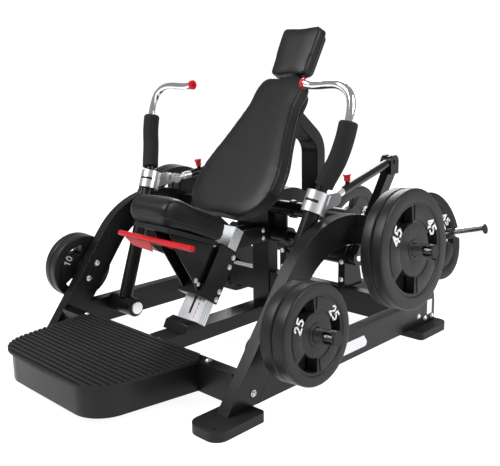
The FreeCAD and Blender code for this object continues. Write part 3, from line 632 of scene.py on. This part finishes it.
def plate_parts(radius, thick, base, way, number):
    """Rim, hub, three arms and bore ring about one axis, with the number on the two upper arms."""
    base = np.array(base)
    way = np.array(way) / np.linalg.norm(way)
    parts = [turned(rolled(0.77 * radius, radius, 0, thick, 0.008), base, way, urethane)]
    parts.append(turned(rolled(0.72 * radius, 0.80 * radius, 0.004, thick - 0.004, 0.003),
                        base, way, urethane))
    parts.append(turned(rolled(0.034, 0.45 * radius, 0.005, thick - 0.005, 0.004), base, way, urethane))
    parts.append(turned(rolled(BORE_RADIUS, 0.040, 0.003, thick - 0.003, 0.0015, 4),
                        base, way, urethane, sides=64))
    for k in range(3):
        mid = np.radians(90 + 60 + 120 * k)
        parts.append(turned(rolled(0.42 * radius, 0.78 * radius, 0.005, thick - 0.005, 0.004),
                            base, way, urethane, mid - ARM_SPREAD / 2, ARM_SPREAD, 30))
        for face in (1, -1):
            low, high = (thick - 0.006, thick - 0.002) if face > 0 else (0.002, 0.006)
            parts.append(turned(rolled(0.48 * radius, 0.73 * radius, low, high, 0.0015, 4),
                                base, way, urethane, mid - FACE_SPREAD / 2, FACE_SPREAD, 24))
    # numbers, upright as the plate hangs: arms whose middle is above the axis
    up_way = np.array([0, 0, 1.0]) - way * way[2]
    up_way /= np.linalg.norm(up_way)
    for outward in (1, -1):
        face_way = way * outward
        right = np.cross(up_way, face_way)
        for lean in (-60, 60):
            c, s = math.cos(math.radians(lean)), math.sin(math.radians(lean))
            radial = up_way * c + right * s
            level = base + way * ((thick - 0.0021) if outward > 0 else 0.0021)
            centre = level + radial * radius * 0.605
            tangent = np.cross(radial, face_way)
            parts += digit_parts(number, centre, tangent, radial, radius * 0.19, 0.0012, number_white, 0.19)
    return parts


def plates(node, radius, thick, count, base, way, number):
    way = np.array(way) / np.linalg.norm(way)
    parts = []
    for k in range(count):
        parts += plate_parts(radius, thick, np.array(base) + way * k * (thick + GAP), way, number)
    piece = new_piece(node + "_cast", parts, node_body[node])
    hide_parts(node)
    print(piece.name, len(piece.data.polygons), "faces")
    return piece


ARCH_FACE = 0.564
COLLAR = 0.249
STORE_TILT = math.radians(4)
WORK_TILT = math.radians(15)
GAP = 0.0004
for side, sign in (("left", -1), ("right", 1)):
    lean = (sign * math.cos(STORE_TILT), 0, math.sin(STORE_TILT))
    for spot, y, z, start in (("rear", 0.205, 0.450, 0.650 if sign > 0 else 0.590),
                              ("front", -0.365, 0.278, 0.642 if sign > 0 else 0.584)):
        if spot == "rear":
            radius, thick, number = 0.225, 0.045, "45"
        elif sign > 0:
            radius, thick, number = 0.167, 0.050, "25"
        else:
            radius, thick, number = 0.145, 0.040, "10"
        foot = np.array([sign * start, y, z + (start - ARCH_FACE) * math.tan(STORE_TILT)])
        plates(f"{side}_{spot}_storage_plates", radius, thick, 2, foot, lean, number)
    lean = (sign * math.cos(WORK_TILT), 0, math.sin(WORK_TILT))
    foot = np.array([sign * COLLAR, 1.165, 0.213 + COLLAR * math.tan(WORK_TILT)])
    plates(f"{side}_work_plate", 0.225, 0.045, 1, foot + np.array(lean) * GAP, lean, "45")

# %% [markdown]
# ## Bolts
# A button-head bolt is a lathe profile: a washer, a low dome and a round socket sunk in its top.
# One function makes it anywhere along any direction, so the frame and the seat share it.

# %% Bolt heads
def bolt(spot, way, radius=0.009):
    """Lathe: washer edge, dome in a quarter of an ellipse, then the socket's wall and floor."""
    q = np.linspace(0, np.pi / 2, 7)
    dome = [(radius * (0.42 + 0.58 * math.cos(a)), 0.002 + radius * 0.62 * math.sin(a)) for a in q]
    rows = [(0.0004, 0.0001), (radius * 1.3, 0.0001), (radius * 1.3, 0.0016), (radius * 1.22, 0.002),
            (radius, 0.002)]
    rows += dome + [(radius * 0.36, radius * 0.5), (radius * 0.36, radius * 0.2), (0.0004, radius * 0.2)]
    way = np.array(way, float)
    if abs(way[1]) > 0.9:
        points, faces, _ = turned(rows, (0, 0, 0), (0, 0, 1), steel, sides=20)
        turn = np.array([[1, 0, 0], [0, 0, way[1]], [0, -way[1], 0]])
        return points @ turn.T + np.array(spot), faces, steel
    return turned(rows, spot, way, steel, sides=20)


frame_heads = []
for sign in (-1, 1):
    for y, z in ((-0.478, 0.077), (0.544, 0.078), (0.598, 0.058), (0.654, 0.055), (-0.326, 0.320),
                 (-0.398, 0.232)):
        frame_heads.append(bolt((sign * ARCH_FACE, y, z), (sign, 0, 0)))
    for y, z in ((-0.340, 0.307), (-0.386, 0.248)):
        frame_heads.append(bolt((sign * (ARCH_FACE - 0.05), y, z), (-sign, 0, 0), 0.010))
    for z in (0.180, 0.262):
        frame_heads.append(bolt((sign * 0.180, 0.507, z), (0, -1, 0)))
    for z in (0.420, 0.452):
        frame_heads.append(bolt((sign * 0.046, 0.130, z), (sign, 0, 0), 0.008))
    frame_heads.append(bolt((sign * 0.028, -0.445, 0.118), (0, 0, 1)))
    frame_heads.append(bolt((sign * 0.370, -0.498, 0.143), (0, 0, 1)))
frame_bolts = new_piece("frame_bolt_heads", frame_heads, "root")
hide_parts("frame_bolts")


POST_FOOT, POST_TILT = (-0.281, 0.138), math.radians(56.5)


def on_post(length, behind):
    """Point in the middle plane of the seat post, up it from its foot and behind its face."""
    c, s = math.cos(POST_TILT), math.sin(POST_TILT)
    return POST_FOOT[0] + c * length + s * behind, POST_FOOT[1] + s * length - c * behind


seat_heads = []
for sign in (-1, 1):
    for length in (0.128, 0.162, 0.270, 0.312):
        seat_heads.append(bolt((sign * 0.068, *on_post(length, 0.043)), (sign, 0, 0), 0.0085))
    for length, behind in ((0.150, -0.062), (0.158, -0.082), (0.322, -0.062), (0.330, -0.084)):
        seat_heads.append(bolt((sign * 0.049, *on_post(length, behind)), (sign, 0, 0), 0.0075))
seat_bolts = new_piece("seat_bolt_heads", seat_heads, "seat")
print("bolts:", len(frame_heads) + len(seat_heads))

# %% [markdown]
# ## Slots in the clamps
# Each clamp is split, and a dark rubber strip fills its slot. The strip is a short lathe arc
# that stands a fraction of a millimetre proud of the clamp, square to the arm it grips.

# %% Clamp strips
ARM_FOOT = np.array([0.425, -0.264, 0.148])
CLAMP_AT = np.array([0.481, -0.055, 0.645])
for side, sign in (("left", -1), ("right", 1)):
    flip = np.array([sign, 1, 1])
    way = (CLAMP_AT - ARM_FOOT) * flip
    strip = turned(rolled(0.0405, 0.0446, -0.0055, 0.0055, 0.0018, 5), CLAMP_AT * flip, way, black_rubber,
                   math.radians(-118 if sign > 0 else -100), math.radians(75), 30)
    piece = new_piece(side + "_clamp_strip", [strip], side + "_arm")
print("clamp strips in")

# %% [markdown]
# ## Seat numbers
# The post carries the seat heights 1 to 5 in red, up its front face beside the slot.

# %% Numbers on the post
along = np.array([0, math.cos(POST_TILT), math.sin(POST_TILT)])
foot = np.array([0.030, *POST_FOOT])
marks = []
for k in range(5):
    spot = foot + along * (0.032 + 0.018 * k)
    marks += digit_parts(str(k + 1), spot, (1, 0, 0), along, 0.011, 0.0002, red_gloss, 0.2)
height_marks = new_piece("seat_height_numbers", marks, "root", smooth=False)
print("numbers on the post")

# %% [markdown]
# ## Light, floor and camera
# A pale floor, a large soft light above the camera's left, and two fills give a plain studio
# look. The camera stands at the front right corner, a little above the seat.

# %% Studio
def plane(name, size, z):
    corners = np.array([(-size, -size, z), (size, -size, z), (size, size, z), (-size, size, z)])
    mesh = bpy.data.meshes.new(name)
    mesh.from_pydata(corners.tolist(), [], [(0, 1, 2, 3)])
    obj = bpy.data.objects.new(name, mesh)
    bpy.context.scene.collection.objects.link(obj)
    return obj


floor = plane("studio_floor", 40.0, 0.0)
pale = bpy.data.materials.new("pale_floor")
pale.use_nodes = True
for socket, value in (("Base Color", (0.35, 0.35, 0.35, 1)), ("Roughness", 0.9),
                      ("Emission Color", (1, 1, 1, 1)), ("Emission Strength", 0.93)):
    pale.node_tree.nodes["Principled BSDF"].inputs[socket].default_value = value
floor.data.materials.append(pale)


def soft_light(name, spot, aim, size, power):
    data = bpy.data.lights.new(name, "AREA")
    data.shape = "SQUARE"
    data.size = size
    data.energy = power
    obj = bpy.data.objects.new(name, data)
    bpy.context.scene.collection.objects.link(obj)
    obj.location = spot
    obj.rotation_euler = (Vector(aim) - Vector(spot)).to_track_quat("-Z", "Y").to_euler()


AIM = (0.0, 0.1, 0.5)
soft_light("key", (-1.6, -3.4, 4.4), AIM, 2.6, 300)
soft_light("side", (4.4, 1.2, 3.0), AIM, 2.6, 210)
soft_light("rear", (-2.5, 3.8, 3.2), AIM, 2.6, 150)
world = bpy.data.worlds.new("studio")
world.use_nodes = True
around = world.node_tree.nodes["Background"]
around.inputs["Color"].default_value = (1, 1, 1, 1)
ray = world.node_tree.nodes.new("ShaderNodeLightPath")
level = world.node_tree.nodes.new("ShaderNodeMapRange")
level.inputs["To Min"].default_value = 0.32
level.inputs["To Max"].default_value = 1.05
world.node_tree.links.new(ray.outputs["Is Camera Ray"], level.inputs["Value"])
world.node_tree.links.new(level.outputs["Result"], around.inputs["Strength"])
bpy.context.scene.world = world
bpy.context.scene.view_settings.view_transform = "Standard"

# %% Camera
AZIMUTH, ELEVATION, ROLL = 44.28, 12.11, -0.91
FOCAL_RATIO = 701.3 / 500
a, e = math.radians(AZIMUTH), math.radians(ELEVATION)
back = Vector((math.sin(a) * math.cos(e), -math.cos(a) * math.cos(e), math.sin(e)))
right = Vector((math.cos(a), math.sin(a), 0))
upward = back.cross(right)
turn = Matrix((right, upward, back)).transposed()
camera_data = bpy.data.cameras.new("camera")
camera_data.sensor_width = 36.0
camera_data.lens = FOCAL_RATIO * camera_data.sensor_width
camera = bpy.data.objects.new("camera", camera_data)
bpy.context.scene.collection.objects.link(camera)
camera.matrix_world = Matrix.Translation((2.049, -2.005, 1.07)) @ turn.to_4x4() @ Matrix.Rotation(
    math.radians(ROLL), 4, "Z")
bpy.context.scene.camera = camera
print("camera at", tuple(round(v, 3) for v in camera.location))

# %% Update the scene
bpy.context.view_layer.update()
